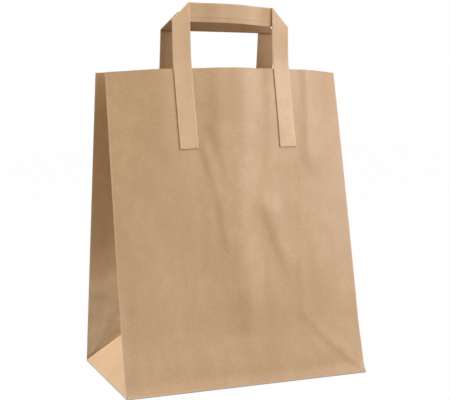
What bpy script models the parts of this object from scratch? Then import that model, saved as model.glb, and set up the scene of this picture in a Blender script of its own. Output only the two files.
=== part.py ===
"""Kraft paper carrier bag with a self-opening satchel base and two folded tape handles.

Metres, +Z up. The bag stands on z = 0 with the middle of its base over the origin. Its wide front
panel faces -Y and its gusseted sides face -X and +X. A place on a wide panel is given on the flat
sheet: x runs across the panel from its middle, and s runs up the paper from the base fold.
"""

import math

import bmesh
import bpy
from mathutils import Vector

# The sheet
BAG_WIDTH = 0.250
BAG_DEPTH = 0.160
SHEET_HEIGHT = 0.310
PAPER = 0.0003

# How far the standing bag has closed towards its mouth, measured at the rim
FRONT_CORNER_LEAN = 0.0669
REAR_CORNER_LEAN = 0.0647
FRONT_BOW = 0.021
REAR_BOW = 0.006

# The front panel's foot tilts back more than the panel above it
STRIP_HEIGHT = 0.010
STRIP_KICK = 0.0018
FOOT_HEIGHT = 0.060
FOOT_KICK = 0.0027

# Soft upright flutes across the upper front panel
FLUTE_HEIGHT = 0.0008
FLUTE_PITCH = 0.085
FLUTE_CREST_X = 0.002

# Lap seam down the rear panel
SEAM_FROM_EDGE = 0.030
SEAM_LAP = 0.015
SEAM_STEP = 0.0004
SEAM_EASE = 0.006

# Flaps folded over each other under the base
FLAP_OVERLAP = 0.020
FLAP_INSET = 0.0006

# Handles: one folded paper tape each
TAPE_WIDTH = 0.0186
TAPE_THICKNESS = 0.0009
TAPE_PLY = 0.00025
TAPE_SEAM_SHARE = 0.24
TAPE_EDGE_ROUND = 0.0002
FOLD_GAP = 0.0003
GLUE_GAP = 0.0003
LEG_SPACING = 0.1063
GLUED_LENGTH = 0.0783
FRONT_HANDLE_OFFSET = 0.0024
FRONT_HANDLE_TURN = math.radians(1.7)
FRONT_BAR_RISE = 0.0544
FRONT_BAR_DROOP = 0.0040
FRONT_HANDLE_TILT = math.radians(-3.0)
REAR_HANDLE_OFFSET = 0.0052
REAR_BAR_RISE = 0.0508
REAR_BAR_DROOP = 0.0010
REAR_HANDLE_TILT = math.radians(8.0)
TILT_RUN = 0.020
BOW_FADE = 0.110

# Mesh density
PANEL_COLUMNS = 20
GUSSET_COLUMNS = 5
TRIANGLE_COLUMNS = 8
FOOT_ROWS = 4
UPPER_ROWS = 11
FOLD_STEPS = 6
LEG_STATIONS = 9
RISE_STATIONS = 4
BAR_STATIONS = 7

# Sizes worked out from the above
HALF_WIDTH = BAG_WIDTH / 2
HALF_DEPTH = BAG_DEPTH / 2
BASE_LIFT = 2 * PAPER
FRONT = -1
REAR = 1

KRAFT_FRONT = (0.51, 0.34, 0.20, 1.0)
KRAFT_TAPE = (0.55, 0.37, 0.22, 1.0)
KRAFT_TAPE_REAR = (0.50, 0.33, 0.19, 1.0)


def clear_scene():
    """Take away whatever the scene holds."""
    for old in list(bpy.data.objects):
        bpy.data.objects.remove(old, do_unlink=True)


def paper_material(name, colour):
    """A matt uncoated paper."""
    material = bpy.data.materials.new(name)
    material.use_nodes = True
    shader = material.node_tree.nodes["Principled BSDF"]
    shader.inputs["Base Color"].default_value = colour
    shader.inputs["Roughness"].default_value = 0.85
    shader.inputs["Metallic"].default_value = 0.0
    return material


def new_object(name, bm, collection, material=None):
    """Make an object of a finished bmesh."""
    mesh = bpy.data.meshes.new(name)
    bm.to_mesh(mesh)
    bm.free()
    made = bpy.data.objects.new(name, mesh)
    collection.objects.link(made)
    if material:
        mesh.materials.append(material)
    return made


def smooth_step(value):
    """0 to 1 with level ends."""
    held = min(max(value, 0.0), 1.0)
    return held * held * (3 - 2 * held)


def foot_kick(s):
    """Extra inward reach of the front panel's foot, fading out towards the rim."""
    strip = STRIP_KICK * min(s / STRIP_HEIGHT, 1.0)
    foot = FOOT_KICK * smooth_step((s - STRIP_HEIGHT) / (FOOT_HEIGHT - STRIP_HEIGHT))
    return (strip + foot) * (1 - s / SHEET_HEIGHT)


def flute(x, s):
    """Outward height of the soft upright waves in the front panel."""
    across = math.cos(2 * math.pi * (x - FLUTE_CREST_X) / FLUTE_PITCH)
    edge = 1 - (x / HALF_WIDTH) ** 2
    return FLUTE_HEIGHT * across * edge * smooth_step(s / SHEET_HEIGHT)


def panel_face(side, x, s):
    """Outer face of the front or rear panel, from the base fold to the rim."""
    share = s / SHEET_HEIGHT
    across = x / HALF_WIDTH
    bow = FRONT_BOW if side == FRONT else REAR_BOW
    corner = FRONT_CORNER_LEAN if side == FRONT else REAR_CORNER_LEAN
    lean = (corner - bow * (1 - across**2)) * share
    if side == FRONT:
        lean += foot_kick(s) - flute(x, s)
    pulled_in = (2 / 3) * (bow * share) ** 2 / HALF_WIDTH
    height = math.sqrt(s**2 - lean**2)
    return Vector((across * (HALF_WIDTH - pulled_in), side * (HALF_DEPTH - lean), BASE_LIFT + height))


def panel_above(side, x, s):
    """The panel's face carried on above the rim, where only a handle stands."""
    rise = s - SHEET_HEIGHT
    rim = panel_face(side, x, SHEET_HEIGHT)
    below = panel_face(side, x, SHEET_HEIGHT - STRIP_HEIGHT)
    slope = (rim - below).normalized()
    tilt = FRONT_HANDLE_TILT if side == FRONT else REAR_HANDLE_TILT
    aim = Vector((0, -side * math.sin(tilt), math.cos(tilt)))
    turned = smooth_step(rise / TILT_RUN)
    direction = slope.lerp(aim, turned / 2 if rise < TILT_RUN else 1 - TILT_RUN / (2 * rise))
    place = rim + direction * rise
    bow = FRONT_BOW if side == FRONT else REAR_BOW
    relaxed = min(rise / BOW_FADE, 1.0)
    place.y -= side * bow * (1 - (x / HALF_WIDTH) ** 2) * relaxed
    leg_share = (LEG_SPACING / BAG_WIDTH) ** 2
    place.y += side * bow * (1 - leg_share) * relaxed
    return place


def panel_point(side, x, s, out=0.0):
    """A point off a wide panel's outer face, or off that face carried on above the rim."""
    face = panel_above if s > SHEET_HEIGHT else panel_face
    place = face(side, x, s)
    if out == 0.0:
        return place
    step = HALF_WIDTH / 100
    across = face(side, x + step, s) - face(side, x - step, s)
    upward = face(side, x, s + step) - place
    normal = across.cross(upward).normalized() * -side
    return place + normal * out


def triangle_tilt():
    """Inward tilt of a base triangle at which the gusset's paper keeps its width."""
    front = panel_face(FRONT, -HALF_WIDTH, HALF_DEPTH)
    rear = panel_face(REAR, -HALF_WIDTH, HALF_DEPTH)
    half_gap = (rear.y - front.y) / 2
    height = (rear.z + front.z) / 2 - BASE_LIFT
    return math.acos((half_gap**2 + height**2) / (2 * height * HALF_DEPTH))


def gusset_crease(hand, s):
    """Middle crease of a side gusset above its base triangle."""
    tilt = triangle_tilt()
    front = panel_face(FRONT, hand * HALF_WIDTH, s)
    rear = panel_face(REAR, hand * HALF_WIDTH, s)
    front_low = panel_face(FRONT, hand * HALF_WIDTH, HALF_DEPTH)
    rear_low = panel_face(REAR, hand * HALF_WIDTH, HALF_DEPTH)
    dip = (front_low.z + rear_low.z) / 2 - BASE_LIFT - HALF_DEPTH * math.cos(tilt)
    half_gap = (rear - front).length / 2
    depth = math.sqrt(HALF_DEPTH**2 - half_gap**2 - dip**2)
    middle = (front + rear) / 2
    settled = smooth_step((s - HALF_DEPTH) / HALF_DEPTH)
    return Vector((middle.x - hand * depth, middle.y * settled, middle.z - dip))


def triangle_point(hand, y, s):
    """A point on a side's base triangle."""
    tilt = triangle_tilt()
    inward = HALF_WIDTH - s * math.sin(tilt)
    return Vector((hand * inward, y, BASE_LIFT + s * math.cos(tilt)))


def gusset_point(side, hand, share, s):
    """Gusset paper between a panel's upright fold (share 0) and the next crease (share 1)."""
    fold = panel_face(side, hand * HALF_WIDTH, s)
    if s < HALF_DEPTH:
        crease = triangle_point(hand, side * (HALF_DEPTH - s), s)
    else:
        crease = gusset_crease(hand, s)
    return fold.lerp(crease, share)


def spaced(start, end, count):
    """Values from start to end in equal steps, both ends included."""
    return [start + (end - start) * index / count for index in range(count + 1)]


def row_heights():
    """Paper heights of the mesh rows, with rows at the strip, the triangle's tip and the rim."""
    foot = spaced(STRIP_HEIGHT, HALF_DEPTH, FOOT_ROWS)
    upper = spaced(HALF_DEPTH, SHEET_HEIGHT, UPPER_ROWS)
    return [0.0] + foot + upper[1:]


def seam_columns():
    """Rear columns of the lap seam, each with its share of a second ply."""
    edge = HALF_WIDTH - SEAM_FROM_EDGE
    return {
        edge - SEAM_STEP - SEAM_LAP: 0.0,
        edge - SEAM_LAP: 1.0,
        edge: 1.0,
        edge + SEAM_EASE: 0.0,
    }


def rear_columns():
    """Rear columns: equal steps, and the lap seam's own in place of those it meets."""
    seam = seam_columns()
    clear = BAG_WIDTH / PANEL_COLUMNS / 3
    lowest = min(seam) - clear
    highest = max(seam) + clear
    plain = [x for x in spaced(-HALF_WIDTH, HALF_WIDTH, PANEL_COLUMNS) if not lowest < x < highest]
    return sorted(plain + list(seam))


def add_patch(bm, layer, columns, rows, place, plies=None):
    """Lay a grid of paper: place gives each point, and plies its share of a second ply."""
    grid = []
    for row in rows:
        line = []
        for column in columns:
            vert = bm.verts.new(place(column, row))
            vert[layer][0] = 0.5 + 0.5 * (plies(column) if plies else 0.0)
            line.append(vert)
        grid.append(line)
    for low, high in zip(grid, grid[1:]):
        for index in range(len(columns) - 1):
            bm.faces.new((low[index], low[index + 1], high[index + 1], high[index]))


def add_wide_panels(bm, layer):
    """The front panel, and the rear panel with its lap seam."""
    rows = row_heights()
    seam = seam_columns()

    def front(x, s):
        return panel_point(FRONT, x, s)

    def rear(x, s):
        pressed = min(s / STRIP_HEIGHT, 1.0)
        return panel_point(REAR, x, s, PAPER * seam.get(x, 0.0) * pressed)

    add_patch(bm, layer, spaced(-HALF_WIDTH, HALF_WIDTH, PANEL_COLUMNS), rows, front)
    add_patch(bm, layer, rear_columns(), rows, rear, lambda x: seam.get(x, 0.0))


def add_gusset(bm, layer, hand):
    """One side: its two upright halves and the triangle at its foot."""
    rows = row_heights()
    shares = spaced(0.0, 1.0, GUSSET_COLUMNS)
    for side in (FRONT, REAR):
        add_patch(bm, layer, shares, rows, lambda share, s: gusset_point(side, hand, share, s))

    def triangle(share, s):
        return triangle_point(hand, share * (HALF_DEPTH - s), s)

    foot = [s for s in rows if s <= HALF_DEPTH]
    add_patch(bm, layer, spaced(-1.0, 1.0, TRIANGLE_COLUMNS), foot, triangle)


def close_base(bm):
    """Join the patches along their folds and fill the base between the panels' feet."""
    bmesh.ops.remove_doubles(bm, verts=bm.verts, dist=1e-6)
    bmesh.ops.dissolve_degenerate(bm, edges=bm.edges, dist=1e-7)
    low = BASE_LIFT + STRIP_HEIGHT / 100
    rim_of_base = [edge for edge in bm.edges if edge.is_boundary and all(v.co.z < low for v in edge.verts)]
    bmesh.ops.contextual_create(bm, geom=rim_of_base)
    bmesh.ops.recalc_face_normals(bm, faces=bm.faces)


def flap_slab(name, side, reach, bottom, top, collection):
    """A base flap as a mitred slab: its long edge lies along one panel's foot."""
    bm = bmesh.new()
    outer = HALF_DEPTH - FLAP_INSET
    inner = HALF_DEPTH - reach
    wide = HALF_WIDTH - 2 * FLAP_INSET
    narrow = HALF_WIDTH - reach - FLAP_INSET
    corners = ((-wide, side * outer), (wide, side * outer), (narrow, side * inner), (-narrow, side * inner))
    outline = bm.faces.new([bm.verts.new((x, y, bottom)) for x, y in corners])
    raised = bmesh.ops.extrude_face_region(bm, geom=[outline])
    lifted = [item for item in raised["geom"] if isinstance(item, bmesh.types.BMVert)]
    bmesh.ops.translate(bm, verts=lifted, vec=(0, 0, top - bottom))
    bmesh.ops.recalc_face_normals(bm, faces=bm.faces)
    flap = new_object(name, bm, collection)
    flap.hide_render = True
    flap.display_type = "WIRE"
    return flap


def join_to(body, other):
    """Union another solid into the body with a live Boolean."""
    union = body.modifiers.new(other.name, "BOOLEAN")
    union.operation = "UNION"
    union.solver = "EXACT"
    union.object = other


def build_bag_body(parts, helpers):
    """The folded and glued sheet: panels, gussets, base and the flaps under it."""
    bm = bmesh.new()
    layer = bm.verts.layers.deform.verify()
    add_wide_panels(bm, layer)
    add_gusset(bm, layer, -1)
    add_gusset(bm, layer, 1)
    close_base(bm)
    body = new_object("bag_body", bm, parts, paper_material("kraft_sheet", KRAFT_FRONT))
    body.vertex_groups.new(name="plies")
    wall = body.modifiers.new("wall", "SOLIDIFY")
    wall.thickness = 2 * PAPER
    wall.offset = -1
    wall.use_even_offset = True
    wall.vertex_group = "plies"
    reach_front = HALF_DEPTH - FLAP_OVERLAP
    reach_rear = HALF_DEPTH + FLAP_OVERLAP
    inside = BASE_LIFT + PAPER / 2
    join_to(body, flap_slab("front_flap", FRONT, reach_front, PAPER, inside, helpers))
    join_to(body, flap_slab("rear_flap", REAR, reach_rear, 0.0, inside + PAPER / 4, helpers))
    return body


def tape_profile():
    """Section of the folded tape: across (-1 to 1) and through its thickness, front face up."""
    half = TAPE_THICKNESS / 2
    soft = TAPE_EDGE_ROUND
    inset = 1 - 2 * TAPE_EDGE_ROUND / TAPE_WIDTH
    seam = -1 + 2 * TAPE_SEAM_SHARE
    return (
        (-inset, half),
        (inset, half),
        (1.0, half - soft),
        (1.0, soft - half),
        (inset, -half),
        (seam, -half),
        (seam, TAPE_PLY - half),
        (-inset, TAPE_PLY - half),
        (-1.0, TAPE_PLY + soft - half),
        (-1.0, half - soft),
    )


class Station:
    """One section of a tape laid on a panel: its middle, half width, height and facing."""

    def __init__(self, middle, reach, height, flat=(0.0, 0.0), facing=1.0):
        self.middle = middle
        self.reach = reach
        self.height = height
        self.flat = Vector(flat)
        self.facing = facing

    def points(self, side):
        """The section's corners in space."""
        for across, through in tape_profile():
            spot = self.middle + self.reach * across + self.flat * through
            yield panel_point(side, spot.x, spot.y, self.height + self.facing * through)


def turned_right(direction):
    """The way to the right of a direction on the sheet."""
    return Vector((direction.y, -direction.x))


def straight_run(start, end, shares, height, facing):
    """Square sections along a straight stretch of tape."""
    along = (end - start).normalized()
    reach = turned_right(along) * facing * TAPE_WIDTH / 2
    return [Station(start.lerp(end, share), reach, height, facing=facing) for share in shares]


def folded_corner(before, corner, after, low, high, facing):
    """Sections round a fold that turns the tape over and sends it off in a new direction."""
    arriving = (corner - before).normalized()
    leaving = (after - corner).normalized()
    crease = (arriving + leaving).normalized()
    slant = abs(arriving.x * crease.y - arriving.y * crease.x)
    reach = crease * (TAPE_WIDTH / 2 / slant)
    if reach.dot(turned_right(arriving) * facing) < 0:
        reach = -reach
    outward = (arriving - crease * arriving.dot(crease)).normalized()
    radius = (low - high) / 2
    middle_height = (low + high) / 2
    for angle in spaced(0.0, math.pi, FOLD_STEPS):
        centre = corner + outward * abs(radius) * math.sin(angle)
        height = middle_height + radius * math.cos(angle)
        yield Station(centre, reach, height, outward * math.sin(angle), facing * math.cos(angle))


def handle_corners(side):
    """Centre line of a handle on the sheet: glued end, corner, corner, glued end."""
    offset = FRONT_HANDLE_OFFSET if side == FRONT else REAR_HANDLE_OFFSET
    turn = FRONT_HANDLE_TURN if side == FRONT else 0.0
    rise = FRONT_BAR_RISE if side == FRONT else REAR_BAR_RISE
    droop = FRONT_BAR_DROOP if side == FRONT else REAR_BAR_DROOP
    half = LEG_SPACING / 2

    def leg(hand, up):
        return Vector((offset + hand * half - up * math.tan(turn), SHEET_HEIGHT + up))

    return leg(-1, -GLUED_LENGTH), leg(-1, rise), leg(1, rise - droop), leg(1, -GLUED_LENGTH)


def handle_stations(side):
    """All sections of a handle in order, from one glued end to the other."""
    first, left, right, last = handle_corners(side)
    near = GLUE_GAP + TAPE_THICKNESS / 2
    far = near - TAPE_THICKNESS - FOLD_GAP
    leg_length = (left - first).length
    glued = GLUED_LENGTH / leg_length
    clear = 1 - TAPE_WIDTH / leg_length
    leg_shares = spaced(0.0, glued, LEG_STATIONS) + spaced(glued, clear, RISE_STATIONS)[1:]
    bar_end = TAPE_WIDTH / (right - left).length
    stations = straight_run(first, left, leg_shares, near, 1)
    stations += folded_corner(first, left, right, near, far, 1)
    stations += straight_run(left, right, spaced(bar_end, 1 - bar_end, BAR_STATIONS), far, -1)
    stations += folded_corner(left, right, last, far, near, -1)
    down = [1 - share for share in reversed(leg_shares)]
    stations += straight_run(right, last, down, near, 1)
    return stations


def build_handle(name, side, parts, colour):
    """One handle: a folded tape, folded over at both upper corners and glued outside the panel."""
    bm = bmesh.new()
    rings = [[bm.verts.new(point) for point in station.points(side)] for station in handle_stations(side)]
    count = len(rings[0])
    for low, high in zip(rings, rings[1:]):
        for index in range(count):
            after = (index + 1) % count
            bm.faces.new((low[index], low[after], high[after], high[index]))
    bm.faces.new(rings[0])
    bm.faces.new(rings[-1])
    bmesh.ops.recalc_face_normals(bm, faces=bm.faces)
    return new_object(name, bm, parts, paper_material(name + "_paper", colour))


def main():
    """Build the bag."""
    clear_scene()
    parts = bpy.data.collections.new("paper_carrier_bag")
    helpers = bpy.data.collections.new("helpers")
    bpy.context.scene.collection.children.link(parts)
    bpy.context.scene.collection.children.link(helpers)
    build_bag_body(parts, helpers)
    build_handle("front_handle", FRONT, parts, KRAFT_TAPE)
    build_handle("rear_handle", REAR, parts, KRAFT_TAPE_REAR)


main()
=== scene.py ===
"""Looks of the kraft paper carrier bag: its folded sheet, its two tape handles, the studio and the camera.

Lengths are in metres, +Z is up, and the bag's front panel faces -Y. A place on a wide panel is given
on the flat sheet: x runs across the panel from its middle, and s runs up the paper from the base fold.
"""

import logging
import math
from dataclasses import dataclass, field
from enum import Enum
from typing import Callable, Sequence

import bpy
from mathutils import Matrix, Vector, noise


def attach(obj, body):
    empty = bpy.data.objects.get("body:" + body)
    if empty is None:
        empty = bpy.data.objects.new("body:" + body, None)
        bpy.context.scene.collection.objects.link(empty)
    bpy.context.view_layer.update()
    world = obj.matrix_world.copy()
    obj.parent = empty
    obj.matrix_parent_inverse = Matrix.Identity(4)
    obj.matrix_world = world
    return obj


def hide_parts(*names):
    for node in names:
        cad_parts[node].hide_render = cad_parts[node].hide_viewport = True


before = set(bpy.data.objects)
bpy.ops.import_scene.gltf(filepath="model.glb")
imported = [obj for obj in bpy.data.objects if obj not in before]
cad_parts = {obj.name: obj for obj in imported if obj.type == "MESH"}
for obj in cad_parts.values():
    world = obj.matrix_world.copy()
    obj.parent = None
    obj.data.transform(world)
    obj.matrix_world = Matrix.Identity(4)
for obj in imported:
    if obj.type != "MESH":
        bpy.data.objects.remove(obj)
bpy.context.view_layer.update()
ROOT = "root"
MERGE_DISTANCE = 0.000002
SHORTEST_EDGE = 0.0000001
SEED_RATIO = 1.7
NEAR_LIMIT = 0.9

log = logging.getLogger("paper_carrier_bag")

Place = Callable[[float, float], Vector]
Amount = Callable[[float, float], float]
FlatPlace = Callable[[float, float], tuple[float, float]]
Colour = tuple[float, float, float]
Socket = bpy.types.NodeSocket


class Side(Enum):
    """A wide panel, by the direction along Y that it faces."""

    FRONT = -1
    REAR = 1


class Hand(Enum):
    """A gusseted side, by the direction along X that it faces."""

    LEFT = -1
    RIGHT = 1


def smooth_step(value: float) -> float:
    """Return 0 to 1 with level ends for a value that runs from 0 to 1."""
    held = min(max(value, 0.0), 1.0)
    return held * held * (3 - 2 * held)


def spaced(start: float, end: float, count: int) -> list[float]:
    """Return values from start to end in equal steps, both ends included."""
    return [start + (end - start) * index / count for index in range(count + 1)]


def edged(start: float, end: float, count: int, near: Sequence[float]) -> list[float]:
    """Space values evenly, with extra ones close to both ends.

    Args:
        start: First value.
        end: Last value.
        count: Number of equal steps.
        near: Distances from each end at which a further value goes.

    Returns:
        The values in order.
    """
    step = (end - start) / count
    inner = [value for value in spaced(start, end, count) if start + step / 2 < value < end - step / 2]
    low = [start + offset for offset in near if offset < step * NEAR_LIMIT]
    high = [end - offset for offset in near if offset < step * NEAR_LIMIT]
    return sorted([start, *low, *inner, *high, end])


@dataclass(frozen=True)
class Crease:
    """A ridge or valley left in a panel by packing or handling, along a path on the sheet.

    Attributes:
        path: Its points, x and s.
        height: Outward height on the path, below 0 for a valley.
        left: Breadth of the flank to the left of the path.
        right: Breadth of the other flank.
        wear: How pale the paper is along it, partly worn and partly a painted highlight, 0 to 1.
        fade: Length over which each end dies out.
    """

    path: tuple[tuple[float, float], ...]
    height: float
    left: float
    right: float
    wear: float = 0.0
    fade: float = 0.018

    def strength(self, x: float, s: float) -> float:
        """Measure how much of the crease reaches a place.

        Args:
            x: Place across the panel.
            s: Place up the paper.

        Returns:
            1 on the path, falling to 0 beyond its flanks and its ends.
        """
        best = (math.inf, 0.0, 0.0)
        travelled = 0.0
        place = Vector((x, s))
        for start, end in zip(self.path, self.path[1:]):
            along = Vector(end) - Vector(start)
            reach = place - Vector(start)
            share = min(max(reach.dot(along) / along.length_squared, 0.0), 1.0)
            distance = (reach - along * share).length
            if distance < best[0]:
                across = (reach.y * along.x - reach.x * along.y) / along.length
                best = (distance, across, travelled + share * along.length)
            travelled += along.length
        distance, across, gone = best
        flank = self.right if across > 0 else self.left
        ends = smooth_step(gone / self.fade) * smooth_step((travelled - gone) / self.fade)
        return math.exp(-((distance / flank) ** 2)) * ends

    def offset(self, x: float, s: float) -> float:
        """Return the outward height of the crease at a place."""
        return self.height * self.strength(x, s)


@dataclass(frozen=True)
class Ripple:
    """A finer layer over a broad pattern of waves or dents.

    Attributes:
        times: How many times finer it is.
        shift: Where its pattern starts.
        share: Its height, as a share of the broad pattern's.
    """

    times: float
    shift: tuple[float, float]
    share: float

    def height(self, spot: Vector) -> float:
        """Return the layer's height at a spot of the broad pattern."""
        return noise.noise(spot * self.times + Vector((*self.shift, 0.0))) * self.share


@dataclass(frozen=True)
class SheetFold:
    """How the flat sheet stands as a bag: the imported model's folds, and the small relief it leaves out."""

    # The folded sheet, with how far each panel's corners lean in and its middle bows out at the rim.
    width: float = 0.250
    depth: float = 0.160
    height: float = 0.310
    paper: float = 0.0003
    front_lean: float = 0.0669
    rear_lean: float = 0.0647
    front_bow: float = 0.021
    rear_bow: float = 0.006
    # The front panel's foot: a strip that leans in quickly, and a softer lean over it.
    strip_height: float = 0.010
    strip_kick: float = 0.0030
    strip_run: float = 0.014
    foot_height: float = 0.060
    foot_kick: float = 0.0027
    # Soft upright waves across the front panel.
    flute_height: float = 0.0008
    flute_pitch: float = 0.085
    flute_crest: float = 0.002
    # The lap seam up the rear panel.
    seam_from_edge: float = 0.030
    seam_lap: float = 0.015
    seam_step: float = 0.0004
    seam_ease: float = 0.006
    # The faces carried on above the rim, where the handles stand.
    handle_spacing: float = 0.1063
    tilt_run: float = 0.020
    bow_fade: float = 0.110
    front_tilt: float = math.radians(-3.0)
    rear_tilt: float = math.radians(8.0)
    # Waves and upright streaks on both panels, flat near their edges, and dents in the gussets.
    wave_height: float = 0.0008
    wave_pitch: float = 0.048
    wave_seed: float = 3.7
    ripples: tuple[Ripple, ...] = (Ripple(2.7, (5.1, 1.3), 0.30), Ripple(6.1, (2.3, 8.3), 0.09))
    streak_height: float = 0.0007
    streak_pitch: tuple[float, float] = (0.014, 0.080)
    streak_reach: float = 0.065
    streak_seed: float = 9.1
    calm_edge: float = 0.020
    calm_foot: float = 0.030
    dent_height: float = 0.0022
    dents_across: float = 2.2
    dent_pitch: float = 0.034
    dent_seed: tuple[float, float] = (40.0, 8.0)
    small_dent: Ripple = Ripple(2.3, (0.0, 0.0), 0.4)
    slope_steps: int = 100
    # Ridges and valleys pressed into the front panel, and how close to its edges they fade out.
    crease_edge: float = 0.003
    creases: tuple[Crease, ...] = (
        Crease(
            ((-0.024, 0.262), (-0.011, 0.211), (-0.006, 0.167), (-0.004, 0.131), (0.002, 0.044)),
            height=0.0013, left=0.007, right=0.014,
        ),
        Crease(
            ((0.012, 0.345), (0.007, 0.270), (0.003, 0.220), (-0.001, 0.141), (0.001, 0.102), (0.005, 0.045)),
            height=0.0028, left=0.030, right=0.0125, fade=0.045,
        ),
        Crease(
            ((-0.040, 0.250), (-0.026, 0.204), (-0.020, 0.175), (-0.014, 0.126)),
            height=0.0010, left=0.0035, right=0.008,
        ),
        Crease(((-0.061, 0.145), (-0.057, 0.087)), height=0.0005, left=0.003, right=0.006),
        Crease(
            ((0.022, 0.190), (0.037, 0.143), (0.054, 0.092)),
            height=0.0018, left=0.0048, right=0.016, fade=0.030,
        ),
        Crease(
            ((0.087, 0.345), (0.084, 0.270), (0.080, 0.195)),
            height=0.0019, left=0.006, right=0.020, fade=0.030,
        ),
        Crease(((0.070, 0.225), (0.062, 0.105), (0.061, 0.062)), height=0.0004, left=0.0025, right=0.006),
        Crease(((-0.109, 0.115), (-0.111, 0.004)), height=0.0004, left=0.004, right=0.006),
        Crease(((-0.014, 0.345), (-0.018, 0.225)), height=0.0009, left=0.010, right=0.013, fade=0.030),
        Crease(((0.043, 0.345), (0.037, 0.235)), height=0.0010, left=0.005, right=0.009, fade=0.030),
        Crease(((-0.074, 0.345), (-0.073, 0.215)), height=0.0011, left=0.012, right=0.011, fade=0.030),
        Crease(
            ((0.056, 0.070), (0.081, 0.041), (0.125, 0.0)),
            height=0.0007, left=0.0018, right=0.009, fade=0.008,
        ),
        Crease(
            ((-0.125, 0.0), (-0.092, 0.034)),
            height=-0.0003, left=0.002, right=0.002, wear=0.1, fade=0.008,
        ),
    )

    @property
    def half_width(self) -> float:
        """Return half the width of a wide panel."""
        return self.width / 2

    @property
    def half_depth(self) -> float:
        """Return half the depth of the base."""
        return self.depth / 2

    @property
    def lift(self) -> float:
        """Return the height of the base sheet over the two flaps that lie under it."""
        return 2 * self.paper

    def bow(self, side: Side) -> float:
        """Return how far a panel's middle stands proud of its corners at the rim."""
        return self.front_bow if side is Side.FRONT else self.rear_bow

    def kick(self, s: float) -> float:
        """Work out how much further in the front panel reaches for its pressed foot.

        Args:
            s: Place up the paper.

        Returns:
            The extra inward reach.
        """
        strip = self.strip_kick * (1 - max(1 - s / self.strip_run, 0.0) ** 2)
        foot = self.foot_kick * smooth_step((s - self.strip_height) / (self.foot_height - self.strip_height))
        return (strip + foot) * (1 - s / self.height)

    def flute(self, x: float, s: float) -> float:
        """Work out the soft upright waves of the front panel.

        Args:
            x: Place across the panel.
            s: Place up the paper.

        Returns:
            Their outward height.
        """
        across = math.cos(2 * math.pi * (x - self.flute_crest) / self.flute_pitch)
        edge = 1 - (x / self.half_width) ** 2
        return self.flute_height * across * edge * smooth_step(s / self.height)

    def seam_lines(self) -> tuple[float, float, float, float]:
        """Return the lap seam's lines across the rear panel, from its open edge to where it has eased off."""
        edge = self.half_width - self.seam_from_edge
        return edge - self.seam_lap - self.seam_step, edge - self.seam_lap, edge, edge + self.seam_ease

    def lap(self, x: float, s: float) -> float:
        """Work out how far the rear panel's second ply lifts it at its lap seam.

        Args:
            x: Place across the panel.
            s: Place up the paper.

        Returns:
            The lift, up to one paper's thickness.
        """
        open_edge, raised, edge, eased = self.seam_lines()
        up = min(max((x - open_edge) / (raised - open_edge), 0.0), 1.0)
        down = min(max((eased - x) / (eased - edge), 0.0), 1.0)
        return self.paper * up * smooth_step(down) * min(s / self.strip_height, 1.0)

    def face(self, side: Side, x: float, s: float) -> Vector:
        """Place a point of a wide panel's outer face, from the base fold to the rim.

        Args:
            side: The panel.
            x: Place across it.
            s: Place up the paper.

        Returns:
            The point in space.
        """
        share = s / self.height
        across = x / self.half_width
        corner = self.front_lean if side is Side.FRONT else self.rear_lean
        lean = (corner - self.bow(side) * (1 - across**2)) * share
        if side is Side.FRONT:
            lean += self.kick(s) - self.flute(x, s)
        # A shallow bow spans less than its paper's width, by this much at each side.
        pulled_in = (2 / 3) * (self.bow(side) * share) ** 2 / self.half_width
        rise = math.sqrt(s**2 - lean**2)
        reach = self.half_width - pulled_in
        return Vector((across * reach, side.value * (self.half_depth - lean), self.lift + rise))

    def above(self, side: Side, x: float, s: float) -> Vector:
        """Place a point of a panel's face carried on above the rim, where a handle stands.

        Args:
            side: The panel.
            x: Place across it.
            s: Place up the paper, past the rim.

        Returns:
            The point in space.
        """
        rise = s - self.height
        rim = self.face(side, x, self.height)
        slope = (rim - self.face(side, x, self.height - self.strip_height)).normalized()
        tilt = self.front_tilt if side is Side.FRONT else self.rear_tilt
        aim = Vector((0, -side.value * math.sin(tilt), math.cos(tilt)))
        if rise < self.tilt_run:
            turned = smooth_step(rise / self.tilt_run) / 2
        else:
            turned = 1 - self.tilt_run / (2 * rise)
        place = rim + slope.lerp(aim, turned) * rise
        relaxed = min(rise / self.bow_fade, 1.0)
        flattened = (x / self.half_width) ** 2 - (self.handle_spacing / self.width) ** 2
        place.y += side.value * self.bow(side) * flattened * relaxed
        return place

    def relief(self, side: Side, x: float, s: float) -> float:
        """Work out the waves and pressed lines of a wide panel.

        Args:
            side: The panel.
            x: Place across it.
            s: Place up the paper.

        Returns:
            Their outward height.
        """
        spot = Vector((x / self.wave_pitch, s / self.wave_pitch, self.wave_seed * side.value))
        waves = noise.noise(spot)
        for ripple in self.ripples:
            waves += ripple.height(spot)
        across, up = self.streak_pitch
        streak = noise.noise(Vector((x / across, s / up, self.streak_seed * side.value)))
        middle = math.exp(-((x / self.streak_reach) ** 2))
        from_edge = self.half_width - abs(x)
        calm = smooth_step(from_edge / self.calm_edge) * smooth_step(s / self.calm_foot)
        height = (self.wave_height * waves + self.streak_height * streak * middle) * calm
        if side is Side.FRONT:
            edge = smooth_step(from_edge / self.crease_edge) * smooth_step(s / self.crease_edge)
            height += sum(crease.offset(x, s) for crease in self.creases) * edge
        else:
            height += self.lap(x, s)
        return height

    def point(self, side: Side, x: float, s: float, out: float = 0.0) -> Vector:
        """Place a point off a wide panel, or off its face carried on above the rim.

        Args:
            side: The panel.
            x: Place across it.
            s: Place up the paper.
            out: Distance out from the panel's outer face.

        Returns:
            The point in space.
        """
        face = self.above if s > self.height else self.face
        place = face(side, x, s)
        step = self.half_width / self.slope_steps
        across = face(side, x + step, s) - face(side, x - step, s)
        upward = face(side, x, s + step) - place
        normal = across.cross(upward).normalized() * -side.value
        return place + normal * (out + self.relief(side, x, min(s, self.height)))

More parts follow.
